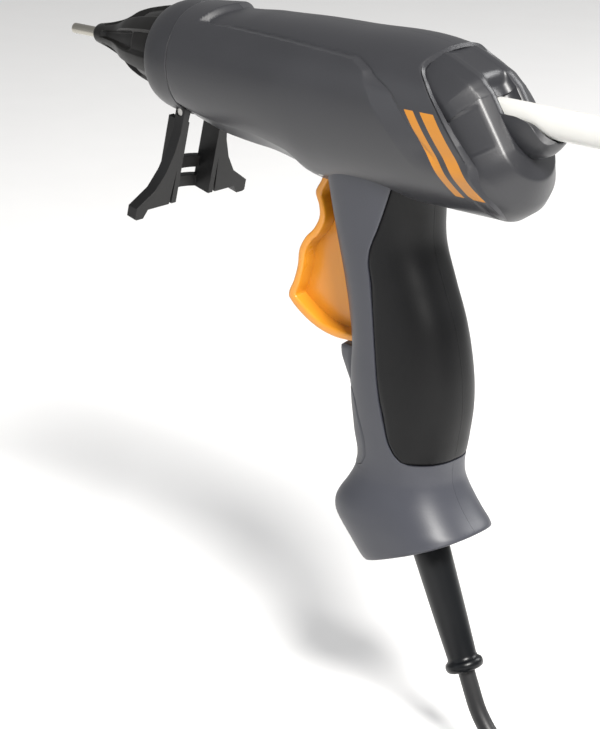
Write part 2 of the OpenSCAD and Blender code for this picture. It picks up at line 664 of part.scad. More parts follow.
// ---- pieces --------------------------------------------------------------

left_shell();
right_shell();
front_collar();
nozzle_sleeve();
nozzle();
valve_ball();
valve_spring();
melt_chamber();
heater_element();
heater_clamp();
thermal_fuse();
inlet_sleeve();
chamber_holder();
guide_tube();
feed_carriage();
carriage_pin();
clamp_lever();
clamp_pin();
return_spring();
trigger();
trigger_pin();
rear_cap();
grip_left();
grip_right();
front_insert();
shell_screws();
stand();
stand_pin();
bend_protector();
cord_inner();
cord_clamp();
clamp_screws();
terminal_block();
supply_leads();
heater_leads();
glue_stick();
cord();
cord_coil();
coil_tie();
cord_tail();
plug_body();
plug_pins();
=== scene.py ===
# Hand-held electric glue gun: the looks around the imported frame.
# +X points to the nozzle, +Y to the gun's left, +Z up; lengths below are in millimetres.
import json
import math

import bmesh
import bpy
import numpy as np
from mathutils import Matrix, Vector


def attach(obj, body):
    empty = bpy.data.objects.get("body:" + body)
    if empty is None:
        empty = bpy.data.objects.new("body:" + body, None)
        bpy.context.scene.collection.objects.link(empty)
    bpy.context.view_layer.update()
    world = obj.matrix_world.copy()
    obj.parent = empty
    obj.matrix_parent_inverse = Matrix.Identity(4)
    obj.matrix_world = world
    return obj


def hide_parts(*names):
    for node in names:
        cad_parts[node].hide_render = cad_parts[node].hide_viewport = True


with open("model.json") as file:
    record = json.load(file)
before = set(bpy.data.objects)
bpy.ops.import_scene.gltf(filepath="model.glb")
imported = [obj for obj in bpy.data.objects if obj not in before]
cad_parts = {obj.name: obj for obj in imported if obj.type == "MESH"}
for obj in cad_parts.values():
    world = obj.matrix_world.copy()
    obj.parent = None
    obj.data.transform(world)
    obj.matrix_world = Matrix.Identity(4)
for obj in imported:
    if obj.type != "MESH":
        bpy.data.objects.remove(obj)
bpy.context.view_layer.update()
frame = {"nodes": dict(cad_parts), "record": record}
nodes = frame["nodes"]
mm = 0.001
print("frame loaded:", len(nodes), "nodes")

# Camera, floor and light

view = {"place": (-0.56552, 0.67727, 0.3077), "turn": 42.443, "tilt": 19.172, "lens": 150.0}
turn, tilt = math.radians(view["turn"]), math.radians(view["tilt"])
sideways = Vector((-math.cos(turn), -math.sin(turn), 0))
forward = Vector((math.sin(turn) * math.cos(tilt), -math.cos(turn) * math.cos(tilt), -math.sin(tilt)))
upward = sideways.cross(forward)
camera = bpy.data.objects.new("camera", bpy.data.cameras.new("camera"))
camera.data.sensor_fit = "HORIZONTAL"
camera.data.sensor_width = 36
camera.data.lens = view["lens"]
camera.data.clip_end = 20
turnMatrix = Matrix((sideways, upward, -forward)).transposed().to_4x4()
camera.matrix_world = Matrix.Translation(view["place"]) @ turnMatrix
bpy.context.scene.collection.objects.link(camera)
bpy.context.scene.camera = camera
bpy.context.scene.view_settings.view_transform = "Standard"

light = {
    "key": {"from": (-0.95, 0.55, 1.15), "size": 0.5, "power": 50, "colour": (1, 0.98, 0.95)},
    "fill": {"from": (0.5, 1.3, 0.5), "size": 1.2, "power": 3, "colour": (0.93, 0.96, 1)},
    "rear": {"from": (-0.5, -1.3, 0.9), "size": 0.8, "power": 14, "colour": (1, 1, 1)},
    "sky": 0.36,
}
for name in ("key", "fill", "rear"):
    lamp = bpy.data.objects.new(name + "Light", bpy.data.lights.new(name + "Light", "AREA"))
    lamp.data.shape = "DISK"
    lamp.data.size = light[name]["size"]
    lamp.data.energy = light[name]["power"]
    lamp.data.color = light[name]["colour"]
    place = Vector(light[name]["from"])
    lamp.location = place
    lamp.rotation_euler = (Vector((0, 0, 0)) - place).to_track_quat("-Z", "Y").to_euler()
    bpy.context.scene.collection.objects.link(lamp)
world = bpy.data.worlds.new("studio")
world.use_nodes = True
world.node_tree.nodes["Background"].inputs["Color"].default_value = (1, 1, 1, 1)
world.node_tree.nodes["Background"].inputs["Strength"].default_value = light["sky"]
bpy.context.scene.world = world


# Materials

# Joins an output socket of a material to an input socket
def link(tree, source, target):
    tree.links.new(source, target)


# A finish: base colour with a slow cloudy variation, fine grain as bump, and roughness that drifts a little
def finish(name, colour, rough, grain=0.00002, grainScale=1400, cloud=0.12, cloudScale=30, metal=0.0,
           specular=0.5, coat=0.0, coatRough=0.1, sheen=0.0, roughDrift=0.08):
    material = bpy.data.materials.new(name)
    material.use_nodes = True
    tree = material.node_tree
    shader = tree.nodes["Principled BSDF"]
    shader.inputs["Metallic"].default_value = metal
    shader.inputs["Specular IOR Level"].default_value = specular
    shader.inputs["Coat Weight"].default_value = coat
    shader.inputs["Coat Roughness"].default_value = coatRough
    shader.inputs["Sheen Weight"].default_value = sheen
    coordinates = tree.nodes.new("ShaderNodeTexCoord")
    clouds = tree.nodes.new("ShaderNodeTexNoise")
    clouds.inputs["Scale"].default_value = cloudScale
    clouds.inputs["Detail"].default_value = 4
    link(tree, coordinates.outputs["Object"], clouds.inputs["Vector"])
    mix = tree.nodes.new("ShaderNodeMix")
    mix.data_type = "RGBA"
    mix.inputs["A"].default_value = (*[c * (1 - cloud) for c in colour], 1)
    mix.inputs["B"].default_value = (*[min(c * (1 + cloud), 1) for c in colour], 1)
    link(tree, clouds.outputs["Fac"], mix.inputs["Factor"])
    link(tree, mix.outputs["Result"], shader.inputs["Base Color"])
    drift = tree.nodes.new("ShaderNodeMapRange")
    drift.inputs["To Min"].default_value = rough - roughDrift
    drift.inputs["To Max"].default_value = rough + roughDrift
    link(tree, clouds.outputs["Fac"], drift.inputs["Value"])
    link(tree, drift.outputs["Result"], shader.inputs["Roughness"])
    grains = tree.nodes.new("ShaderNodeTexNoise")
    grains.inputs["Scale"].default_value = grainScale
    grains.inputs["Detail"].default_value = 2
    link(tree, coordinates.outputs["Object"], grains.inputs["Vector"])
    bump = tree.nodes.new("ShaderNodeBump")
    bump.inputs["Distance"].default_value = grain
    bump.inputs["Strength"].default_value = 1
    link(tree, grains.outputs["Fac"], bump.inputs["Height"])
    link(tree, bump.outputs["Normal"], shader.inputs["Normal"])
    return material


# Adds plain coloured stripes to a finish: bands across a slanted line in the side view, between two heights
def addStripes(material, stripes):
    tree = material.node_tree
    shader = tree.nodes["Principled BSDF"]
    old = shader.inputs["Base Color"].links[0].from_socket
    coordinates = next(n for n in tree.nodes if n.type == "TEX_COORD")
    split = tree.nodes.new("ShaderNodeSeparateXYZ")
    link(tree, coordinates.outputs["Object"], split.inputs["Vector"])

    # One Math node: its result is kind applied to a and b, each a number or a socket
    def calc(kind, a, b):
        step = tree.nodes.new("ShaderNodeMath")
        step.operation = kind
        for i, value in enumerate((a, b)):
            if isinstance(value, (int, float)):
                step.inputs[i].default_value = value
            else:
                link(tree, value, step.inputs[i])
        return step.outputs[0]

    # distance from the slanted line, in metres
    slant = calc("SUBTRACT", split.outputs["X"], calc("MULTIPLY", split.outputs["Z"], stripes["slope"]))
    mask = None
    for centre, half in stripes["bands"]:
        away = calc("ABSOLUTE", calc("SUBTRACT", slant, centre * mm), 0)
        inside = calc("LESS_THAN", away, half * mm)
        mask = inside if mask is None else calc("MAXIMUM", mask, inside)
    low, high = stripes["heights"]
    for kind, edge in (("GREATER_THAN", low), ("LESS_THAN", high)):
        mask = calc("MULTIPLY", mask, calc(kind, split.outputs["Z"], edge * mm))
    mix = tree.nodes.new("ShaderNodeMix")
    mix.data_type = "RGBA"
    link(tree, mask, mix.inputs["Factor"])
    link(tree, old, mix.inputs["A"])
    mix.inputs["B"].default_value = (*stripes["colour"], 1)
    link(tree, mix.outputs["Result"], shader.inputs["Base Color"])


orange = (0.6, 0.235, 0.016)
# the same plastic as the mantle, with painted shade making it about a fifth darker; it goes on the rear block,
# rear plate, stick cradle and nose collar
shadedBodyGrey = finish("shadedBodyGreyPlastic", (0.019, 0.0195, 0.0225), 0.36, 0.00002, 1300)
mantleGrey = finish("mantleGreyPlastic", (0.024, 0.0245, 0.028), 0.36, 0.00002, 1300)
addStripes(mantleGrey, {"slope": 0.66, "bands": [(-98, 3.0), (-90, 2.0)], "heights": (77, 106),
                        "colour": (0.42, 0.165, 0.012)})
handleGrey = finish("handleGreyPlastic", (0.036, 0.038, 0.048), 0.42, 0.00002, 1300)
trimGrey = finish("trimGreyPlastic", (0.035, 0.037, 0.046), 0.42)
heatBlack = finish("heatBlackPlastic", (0.004, 0.0037, 0.0034), 0.36, 0.00002, 1600, specular=0.3)
standBlack = finish("standBlackPlastic", (0.004, 0.004, 0.0042), 0.42, 0.00003, 1500, specular=0.3)
gripRubber = finish("softGripRubber", (0.0025, 0.0026, 0.003), 0.4, 0.00003, 2200, specular=0.22)
triggerOrange = finish("triggerOrangePlastic", orange, 0.3, 0.00001, 900, cloud=0.06, coat=0.25,
                       coatRough=0.2)
protectorBlack = finish("protectorRubber", (0.002, 0.0026, 0.0036), 0.33, 0.00002, 1500, specular=0.3)
cordBlack = finish("cordSheath", (0.012, 0.012, 0.013), 0.45, 0.00002, 1800)
nozzleSteel = finish("nozzleSteel", (0.46, 0.44, 0.39), 0.3, 0.00001, 2500, metal=1.0)
innerSteel = finish("innerSteel", (0.55, 0.54, 0.52), 0.35, metal=1.0)
castAluminium = finish("castAluminium", (0.6, 0.61, 0.62), 0.5, 0.00008, 600, metal=1.0)
ceramic = finish("heaterCeramic", (0.75, 0.71, 0.62), 0.7, 0.00004, 900)
silicone = finish("inletSilicone", (0.5, 0.12, 0.07), 0.5)
innerBlack = finish("innerBlackPlastic", (0.02, 0.02, 0.022), 0.5)
terminalWhite = finish("terminalWhitePlastic", (0.7, 0.69, 0.64), 0.4)
leadSleeve = finish("leadSleeve", (0.45, 0.45, 0.4), 0.6)
tieFabric = finish("tieFabric", (0.03, 0.03, 0.03), 0.9, 0.0002, 700, sheen=0.4)
gluePlastic = finish("glueStick", (0.46, 0.46, 0.445), 0.32, 0.00002, 500, cloud=0.05)
glueShader = gluePlastic.node_tree.nodes["Principled BSDF"]
glueShader.inputs["Subsurface Weight"].default_value = 0.4
glueShader.inputs["Subsurface Radius"].default_value = (1, 0.95, 0.85)
glueShader.inputs["Subsurface Scale"].default_value = 0.006
floorPaint = finish("paleFloor", (0.9, 0.9, 0.9), 0.8, 0.0, 300, cloud=0.01)
print("materials made")


# Mesh helpers

# Quads between neighbouring rows and columns of a grid that is numbered row by row
def gridFaces(rows, columns, wrapRows, wrapColumns):
    r = np.arange(rows if wrapRows else rows - 1)[:, None]
    c = np.arange(columns if wrapColumns else columns - 1)[None, :]
    r2, c2 = (r + 1) % rows, (c + 1) % columns
    quads = np.stack([r * columns + c, r * columns + c2, r2 * columns + c2, r2 * columns + c], -1)
    return quads.reshape(-1, 4)


# A closed piece from a grid of points: doubles are merged, then normals are turned outwards
def gridPiece(name, points, body, material, replaced=(), wrapRows=False, wrapColumns=False,
              caps="", sharpAngle=35, bevel=None):
    rows, columns = points.shape[:2]
    faces = gridFaces(rows, columns, wrapRows, wrapColumns).tolist()
    last = (rows - 1) * columns
    if "rows" in caps:        # lids over the first and the last row
        faces += [list(range(columns))[::-1], [last + i for i in range(columns)]]
    if "columns" in caps:     # lids over the first and the last column
        faces += [[i * columns for i in range(rows)],
                  [i * columns + columns - 1 for i in range(rows)][::-1]]
    mesh = bpy.data.meshes.new(name)
    mesh.from_pydata((points.reshape(-1, 3) * mm).tolist(), [], faces)
    return finishMesh(name, mesh, body, material, replaced, sharpAngle, bevel)


# Makes a mesh a piece: merges doubles, turns faces outwards, sets sharp edges and an optional rounded edge, and
# gives it to its body, slot and replaced nodes
def finishMesh(name, mesh, body, material, replaced=(), sharpAngle=35, bevel=None, merge=2e-6):
    work = bmesh.new()
    work.from_mesh(mesh)
    bmesh.ops.remove_doubles(work, verts=work.verts, dist=merge)
    bmesh.ops.dissolve_degenerate(work, edges=work.edges, dist=merge / 4)
    bmesh.ops.recalc_face_normals(work, faces=work.faces)
    if work.calc_volume() < 0:
        bmesh.ops.reverse_faces(work, faces=work.faces)
    work.to_mesh(mesh)
    work.free()
    mesh.shade_smooth()
    mesh.set_sharp_from_angle(angle=math.radians(sharpAngle))
    piece = bpy.data.objects.new(name, mesh)
    bpy.context.scene.collection.objects.link(piece)
    mesh.materials.append(material)
    if bevel:
        edge = piece.modifiers.new("edge", "BEVEL")
        edge.width = bevel * mm
        edge.segments = 2
        edge.limit_method = "ANGLE"
        edge.angle_limit = math.radians(30)
        edge.harden_normals = False
    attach(piece, body)
    if replaced:
        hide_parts(*replaced)
    return piece


# A copy of a CAD node with its doubles merged, flat regions joined and its edges rounded
def roundedCopy(name, node, body, material, width, flat=1.5):
    mesh = nodes[node].data.copy()
    mesh.materials.clear()
    work = bmesh.new()
    work.from_mesh(mesh)
    bmesh.ops.remove_doubles(work, verts=work.verts, dist=2e-6)
    bmesh.ops.dissolve_limit(work, angle_limit=math.radians(flat), verts=work.verts, edges=work.edges)
    work.to_mesh(mesh)
    work.free()
    for face in mesh.polygons:
        face.material_index = 0
    return finishMesh(name, mesh, body, material, (node,), 30, width)


# Smooth curve through values at rising keys: cubic pieces whose slopes come from the neighbours
def through(keys, values, at):
    keys, values, at = np.asarray(keys, float), np.asarray(values, float), np.asarray(at, float)
    if keys[0] > keys[-1]:
        keys, values = keys[::-1], values[::-1]
    slopes = np.gradient(values, keys)
    at = np.clip(at, keys[0], keys[-1])
    i = np.clip(np.searchsorted(keys, at) - 1, 0, len(keys) - 2)
    step = keys[i + 1] - keys[i]
    t = (at - keys[i]) / step
    return ((2 * t**3 - 3 * t**2 + 1) * values[i] + (t**3 - 2 * t**2 + t) * step * slopes[i]
            + (3 * t**2 - 2 * t**3) * values[i + 1] + (t**3 - t**2) * step * slopes[i + 1])


# Points of a smooth curve through a list of points, several to each stretch
def smoothPath(points, steps):
    points = np.asarray(points, float)
    reach = np.concatenate([[0], np.cumsum(np.linalg.norm(np.diff(points, axis=0), axis=1))])
    at = np.concatenate([np.linspace(reach[i], reach[i + 1], steps, endpoint=False)
                         for i in range(len(reach) - 1)] + [[reach[-1]]])
    return np.stack([through(reach, points[:, k], at) for k in range(3)], -1)


# Smooth step from 0 at a to 1 at b
def ease(x, a, b):
    t = np.clip((x - a) / (b - a), 0, 1)
    return t * t * (3 - 2 * t)


# Turns a profile of (along, radius) points about an axis; ripple may change the radius with the angle
def turned(profile, origin, axis, across, sides=128, ripple=None):
    profile = np.asarray(profile, float)
    axis, across = np.asarray(axis, float), np.asarray(across, float)
    third = np.cross(axis, across)
    angle = np.linspace(0, 2 * np.pi, sides, endpoint=False)[None, :]
    along, radius = profile[:, 0][:, None], profile[:, 1][:, None] * np.ones_like(angle)
    if ripple is not None:
        radius = radius + ripple(along, angle)
    return (np.asarray(origin, float) + along[..., None] * axis
            + (radius * np.cos(angle))[..., None] * across + (radius * np.sin(angle))[..., None] * third)


# Cord

cordPlan = {
    "diameter": 6.6, "floor": -150,
    "outlet": (-12.5, 0, -66.7), "exitTilt": 22, "protector": 51, "hang": 12,
    "coilCentre": (-86, 44), "coilRadius": 35.9, "turns": 5.5, "gap": 0.1,
    # column and layer of each turn in the coil, and the part of the turn in which it leaves for the next
    "places": [(1, 0), (0, 0), (-1, 0), (-1, 1), (0, 1), (1, 1)],
    "changes": [(0.68, 1.02), (0.68, 1.02), (0.62, 0.96), (0.54, 0.86), (0.56, 0.88), (1, 2)],
    "plug": (-36, 69.7, 3), "tailBend": 34, "tailDrop": 30,
}
cordRadius = cordPlan["diameter"] / 2
layHeight = cordPlan["floor"] + cordRadius
exitAngle = math.radians(cordPlan["exitTilt"])
wayOut = np.array([-math.sin(exitAngle), 0, -math.cos(exitAngle)])
outlet = np.array(cordPlan["outlet"], float)
cordStart = outlet + wayOut * cordPlan["protector"]
coilX, coilY = cordPlan["coilCentre"]

# Coil: one turn after another clockwise from its near side; angle = -90 - 360 x turns and
# reach = middle radius + column x (diameter + gap)
turns = np.linspace(0, cordPlan["turns"], 300)
level = np.minimum(np.floor(turns).astype(int), 5)
places, changes = np.array(cordPlan["places"], float), np.array(cordPlan["changes"], float)
share = ease(turns - level, changes[level, 0], changes[level, 1])[:, None]
place = places[level] * (1 - share) + places[np.minimum(level + 1, 5)] * share
coilAngle = -math.pi / 2 - turns * 2 * np.pi
coilReach = cordPlan["coilRadius"] + place[:, 0] * (cordPlan["diameter"] + cordPlan["gap"])
coilPath = np.stack([coilX + coilReach * np.cos(coilAngle), coilY + coilReach * np.sin(coilAngle),
                     layHeight + place[:, 1] * cordPlan["diameter"]], -1)

# Lead-in: straight out of the protector, an arc down to the floor, then along it to the coil's near side
hangEnd = cordStart + wayOut * cordPlan["hang"]
leadBend = (hangEnd[2] - layHeight) / (1 - math.sin(exitAngle))
steepness = np.linspace(math.pi / 2 - exitAngle, 0, 24)
leadArc = np.stack([hangEnd[0] - leadBend * (math.cos(exitAngle) - np.sin(steepness)), 0 * steepness,
                    layHeight + leadBend * (1 - np.cos(steepness))], -1)
leadFloor = np.stack([np.linspace(leadArc[-1, 0], coilX, 12)[1:-1]] * 3, -1) * (1, 0, 0) + (0, 0, layHeight)
leadIn = np.concatenate([leadArc, leadFloor])
leadIn[:, 1] = coilPath[0, 1] * ease(leadIn[:, 0], hangEnd[0], coilX + 10)

# Tail: two opposite arcs carry the cord sideways, and a parabola lowers it to the plug
plugPlace = np.array(cordPlan["plug"]) + (0, 0, layHeight)
tailShift = coilPath[-1, 1] - plugPlace[1]
tailTurn = math.acos(1 - tailShift / 2 / cordPlan["tailBend"])
swing = np.linspace(0, tailTurn, 14)
firstArc = np.stack([np.sin(swing), 1 - np.cos(swing)], -1) * cordPlan["tailBend"]
secondArc = (2 * firstArc[-1] - firstArc)[::-1][1:]
tailArc = np.concatenate([firstArc, secondArc])
tailX = plugPlace[0] - 1 - tailArc[-1, 0] + tailArc[:, 0]
lowered = np.clip((tailX - plugPlace[0] + cordPlan["tailDrop"]) / cordPlan["tailDrop"], 0, 1) ** 2
tail = np.stack([tailX, coilPath[-1, 1] - tailArc[:, 1],
                 coilPath[-1, 2] + (plugPlace[2] - coilPath[-1, 2]) * lowered], -1)
cordPath = np.concatenate([[cordStart - wayOut * 6], leadIn, coilPath, tail, [plugPlace + (1, 0, 0)]])
cordCurve = bpy.data.curves.new("mainsCord", "CURVE")
cordCurve.dimensions = "3D"
cordCurve.bevel_depth = cordRadius * mm
cordCurve.bevel_resolution = 5
cordCurve.use_fill_caps = True
spline = cordCurve.splines.new("POLY")
spline.points.add(len(cordPath) - 1)
spline.points.foreach_set("co", np.concatenate([cordPath * mm, np.ones((len(cordPath), 1))], 1).ravel())
mainsCord = bpy.data.objects.new("mainsCord", cordCurve)
mainsCord.data.materials.append(cordBlack)
bpy.context.scene.collection.objects.link(mainsCord)
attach(mainsCord, "housing")
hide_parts("cord", "cord_coil", "cord_tail")
plugBody = roundedCopy("plugBody", "plug_body", "housing", cordBlack, 0.8)

# Tapered bend protector with a collar at its end
protectorPlan = {"rootRadius": 7.3, "endRadius": 5.7, "length": cordPlan["protector"]}
p = protectorPlan
protectorProfile = [(-5, 3.4), (-5, 6.3), (0, 6.3), (0.2, p["rootRadius"] - 0.4), (0.8, p["rootRadius"]),
                    (10, p["rootRadius"] - 0.3), (30, 6.35), (p["length"] - 5.6, p["endRadius"]),
                    (p["length"] - 4.4, 5.9), (p["length"] - 3.9, 6.5), (p["length"] - 3.4, 7.1),
                    (p["length"] - 2.4, 7.4), (p["length"] - 1.4, 7.35), (p["length"] - 0.5, 7.0),
                    (p["length"], 6.2), (p["length"], 3.4)]
protectorPoints = turned(protectorProfile, outlet, wayOut, (0, 1, 0), 96)
gridPiece("bendProtector", protectorPoints, "housing", protectorBlack,
          ("bend_protector",), wrapRows=True, wrapColumns=True, sharpAngle=50)
print("bend protector made")

# Body shells

# height of the line through the nozzle, the heater and the stick
barrelAxis = 104
bodyPlan = {
    "centre": 102.5, "seam": 103, "seamGap": 0.04, "wall": 2.6,
    "along": [-60, -26, -10, 24, 36, 46, 55, 62, 71, 80, 90, 97, 103],
    "top": [23, 24.2, 26.4, 26.0, 25.9, 25.7, 25.3, 25.0, 24.7, 24.1, 23.4, 22.8, 22.3],
    "side": [27.0, 27.2, 27.4, 27.0, 26.7, 26.3, 25.9, 25.5, 24.9, 24.2, 23.4, 22.9, 22.3],
    "bottom": [36, 36, 36, 36, 35.4, 32.4, 30.2, 29.0, 28.4, 27.6, 26.2, 24.2, 22.4],
    "rimHeights": [66, 69, 72.7, 79, 89.1, 97.4, 108.6, 115.8, 121.7, 125, 130],
    "rimPlaces": [-50.5, -53, -53.6, -50.6, -45.8, -41.2, -33.3, -26.5, -21, -22.4, -23],
    "mantleStep": 2.3, "rampFront": 2.6, "rampRear": 8.5, "lip": 0.3,
    # front line and upper edge of the mantle on the flanks: place along X and angle from the top, in degrees
    "mantleFront": [(80, -32.5), (100, 90)],
    "mantleEdge": [(130, 35.7), (8.6, 53), (2.4, 60), (-5.5, 85), (-20, 120), (-34, 150)],
    "chamferTop": 3.0, "chamferBottom": 5.4, "rows": 270, "columns": 150,
    # roundness of the oval above and below, and the flat underside's direction, share and start along X
    "powerTop": 2.25, "powerBottom": 2.0, "under": (0.56, -0.83), "underShare": 0.955, "underFrom": (30, 44),
    # opening for the trigger's upper end
    "opening": {"below": 80, "roof": 74, "from": 12, "to": 44, "half": 9.2},
    # millimetres round the skin to a radian, for distances on it
    "perRadian": 29,
}


# Distance from points to a line of straight stretches, positive on its left
def sideOfLine(px, py, line):
    best, sign = np.full(px.shape, 1e9), np.ones(px.shape)
    for (ax, ay), (bx, by) in zip(line[:-1], line[1:]):
        dx, dy = bx - ax, by - ay
        t = np.clip(((px - ax) * dx + (py - ay) * dy) / (dx * dx + dy * dy), 0, 1)
        away = np.hypot(px - ax - t * dx, py - ay - t * dy)
        nearer = away < best
        best = np.where(nearer, away, best)
        sign = np.where(nearer, np.sign(dx * (py - ay) - dy * (px - ax)), sign)
    return best * sign


# Height of the skin above the plain body: minus the mantle's step behind its front line and above its
# upper edge, a lip along that edge, and 0 on the flanks and underneath
def mantleOffset(x, angle):
    b = bodyPlan
    around = angle * b["perRadian"]
    front, edge = ([(q[0], math.radians(q[1]) * b["perRadian"]) for q in b[k]]
                   for k in ("mantleFront", "mantleEdge"))
    inside = np.minimum(sideOfLine(x, around, front), sideOfLine(x, around, edge))
    ramp = b["rampFront"] + (b["rampRear"] - b["rampFront"]) * ease(x, 14, -8) * ease(angle, 0.95, 1.3)
    depth = -b["mantleStep"] * np.clip(inside / ramp, 0, 1)
    depth += b["lip"] * ease(inside, ramp, ramp + 0.7) * ease(x, 78, 66) * ease(angle, 2.1, 1.95)
    below = ease(angle, 1.95, 2.25) * ease(x, 50, 22)
    return depth * (1 - below)


# Body skin: an oval section whose top, side and bottom reach change along X, less the mantle's steps
def bodySkin(x, angle, inset, detail=True):
    b = bodyPlan
    top, side, bottom = (through(b["along"], b[k], x) for k in ("top", "side", "bottom"))
    c, s = np.cos(angle), np.sin(angle)
    tall = np.where(c >= 0, top, bottom)
    power = np.where(c >= 0, b["powerTop"], b["powerBottom"])
    reach = (np.abs(c / tall) ** power + np.abs(s / side) ** power) ** (-1 / power)
    # flat underside beside the keel, met at a crease
    under = b["under"]
    facing = np.maximum(s * under[0] + c * under[1], 0.05)
    support = np.sqrt((side * under[0]) ** 2 + (bottom * under[1]) ** 2)
    flat = b["underShare"] * support / facing
    begun = ease(x, *b["underFrom"])
    reach = np.where(begun > 0, np.minimum(reach, flat + 6 * (1 - begun)), reach)
    if detail:
        reach = reach + mantleOffset(x, angle)
    reach = reach - inset
    return np.stack([x, reach * s, b["centre"] + reach * c], -1)


# Place of the rear rim for an angle round the body: the rim's curve read at the height of the skin there
def rimPlace(angle):
    ends = bodySkin(np.full(angle.shape, -30.0), angle, 0, False)
    return through(bodyPlan["rimHeights"], bodyPlan["rimPlaces"], ends[..., 2])


# One shell: outer skin from the nose to the rim, a chamfered rim, and a plain inner skin back to the nose
def shellPoints(side):
    b = bodyPlan
    angle = np.linspace(0, np.pi, b["columns"])[None, :]
    rim = rimPlace(angle)
    u = np.linspace(0, 1, b["rows"])[:, None]
    x = b["seam"] - 0.05 + (rim + 1.3 - b["seam"]) * u
    angles = angle * np.ones_like(u)
    skin = bodySkin(x, angles, 0.45 * ease(u, 0.992, 1.0) + 0.35 * ease(u, 0.006, 0))
    width = b["chamferTop"] + (b["chamferBottom"] - b["chamferTop"]) * ease(angle, 1.2, 2.8)
    rows = [skin]
    for back, share in ((0.75, 0.5), (0.1, 0.92), (0.2, 1.05), (0.9, 1.1), (9, 1.12)):
        rows.append(bodySkin(rim + back, angle, width * share, False))
    for t in np.linspace(0.1, 1, 8):
        place = (rim + 9) * (1 - t) + (b["seam"] - 0.05) * t
        rows.append(bodySkin(place, angle, width * 1.12 * (1 - t) + b["wall"] * t + 0.8, False))
    points = np.concatenate(rows, 0)
    gap = b["opening"]
    slot = ((points[..., 2] < gap["below"]) & (points[..., 0] > gap["from"]) & (points[..., 0] < gap["to"])
            & (points[..., 1] < gap["half"]))
    points[..., 2] = np.where(slot, np.maximum(points[..., 2], gap["roof"]), points[..., 2])
    points[..., 1] = np.maximum(points[..., 1], b["seamGap"]) * side
    return points


for side, name, node in ((1, "leftShell", "left_shell"), (-1, "rightShell", "right_shell")):
    gridPiece(name, shellPoints(side), "housing", mantleGrey, (node,), wrapRows=True,
              caps="columns", sharpAngle=28)
print("body shells made")

# Rear cap

rearPlan = {
    "lean": 33.2, "foot": (-62, 84.5), "faceTop": 34.0, "lowerCentre": 12.6, "portCentre": 23.3,
    "ridge": [(-16, 125.2), (-23.4, 123.6), (-30, 121.0), (-35, 118.9), (-38.4, 117.2), (-40.8, 115.1)],
    # reach from the path and depth below the face, for the block's outside and for its trough
    "outline": [(21.4, 19), (21.4, 12.6), (20.4, 10.4), (19.4, 8.4), (14.6, 3.6), (13.7, 2.5), (13.1, 2.0),
                (12.5, 1.7), (9.2, 0.2), (8.8, 0.05), (8.2, 0)],
    "trough": [(7.3, 0), (6.6, 0.15), (5.95, 0.6), (5.8, 1.6), (5.0, 3.6), (3.2, 5.2), (0, 5.8)],
    "pocketFrom": 8, "pocketTo": 12, "pocketDepth": 2.6, "lowerBevel": 3.2,
    "portStretch": 1.19, "portDepth": 2.4,
}
lean = math.radians(rearPlan["lean"])
faceUp = np.array([math.sin(lean), 0, math.cos(lean)])
faceOut = np.array([-math.cos(lean), 0, math.sin(lean)])
faceFoot = np.array([rearPlan["foot"][0], 0, rearPlan["foot"][1]])


# Path down the left of the block, round its lower end and up the right, as centre, outward and lift
# directions; the half turn is centred at a given distance up the face and can be stretched along it
def blockPath(lowerCentre, stretch=1.0):
    ridge = np.array([(q[0], 0, q[1]) for q in rearPlan["ridge"]])
    straight = faceFoot + np.linspace(rearPlan["faceTop"], lowerCentre, 40)[:, None] * faceUp
    centre = np.concatenate([smoothPath(ridge, 4), straight])
    along = np.gradient(centre, axis=0)
    along /= np.linalg.norm(along, axis=1)[:, None]
    out = np.stack([along[:, 2], along[:, 1], -along[:, 0]], -1)
    out *= np.sign(out @ faceOut)[:, None]
    leftWard = np.tile(np.array([0, 1.0, 0]), (len(centre), 1))
    a = np.linspace(0, np.pi, 50)[1:-1]
    around = np.cos(a)[:, None] * np.array([0, 1.0, 0]) - stretch * np.sin(a)[:, None] * faceUp
    bottom = faceFoot + lowerCentre * faceUp
    return (np.concatenate([centre, np.tile(bottom, (len(a), 1)), centre[::-1]]),
            np.concatenate([leftWard, around, -leftWard[::-1]]),
            np.concatenate([out, np.tile(faceOut, (len(a), 1)), out[::-1]]), len(centre))


outerCentre, outerWay, outerOut, topCount = blockPath(rearPlan["lowerCentre"])
innerCentre, innerWay, innerOut = blockPath(rearPlan["portCentre"], rearPlan["portStretch"])[:3]
count = len(outerCentre)
# share of the pocket in the block's flank, and share of the trough's depth, along the path
fromTop = np.minimum(np.arange(count), count - 1 - np.arange(count)) / topCount
pocket = ease(fromTop, 0.4, 0.44) * ease(fromTop, 0.9, 0.84)
troughShare = ease(fromTop, 0.2, 0.42)
atPort = ease(fromTop, 0.86, 0.9)
blockRows = []
for reach, depth in rearPlan["outline"]:
    inPocket = rearPlan["pocketFrom"] < depth < rearPlan["pocketTo"]
    sunk = depth + (rearPlan["pocketDepth"] if inPocket else 0) * pocket
    # the bevel is wider round the lower end
    lowerBevel = rearPlan["lowerBevel"] if depth < 1 else 0
    across = reach - lowerBevel * np.maximum(-outerWay @ faceUp, 0)
    blockRows.append(outerCentre + across[:, None] * outerWay - np.asarray(sunk).reshape(-1, 1) * outerOut)
for reach, depth in rearPlan["trough"]:
    inward = np.where(atPort[:, None] > 0.5, np.array([1.0, 0, 0]), -innerOut)
    deep = depth * (1 + rearPlan["portDepth"] * atPort) * np.maximum(troughShare, 0.02)
    blockRows.append(innerCentre + reach * innerWay + deep[:, None] * inward)
blockPoints = np.stack(blockRows, 0)
# the rear block wears the darker grey: the mantle's plastic with painted shade
gridPiece("rearBlock", blockPoints, "housing", shadedBodyGrey, ("rear_cap",), caps="columns",
          sharpAngle=32)

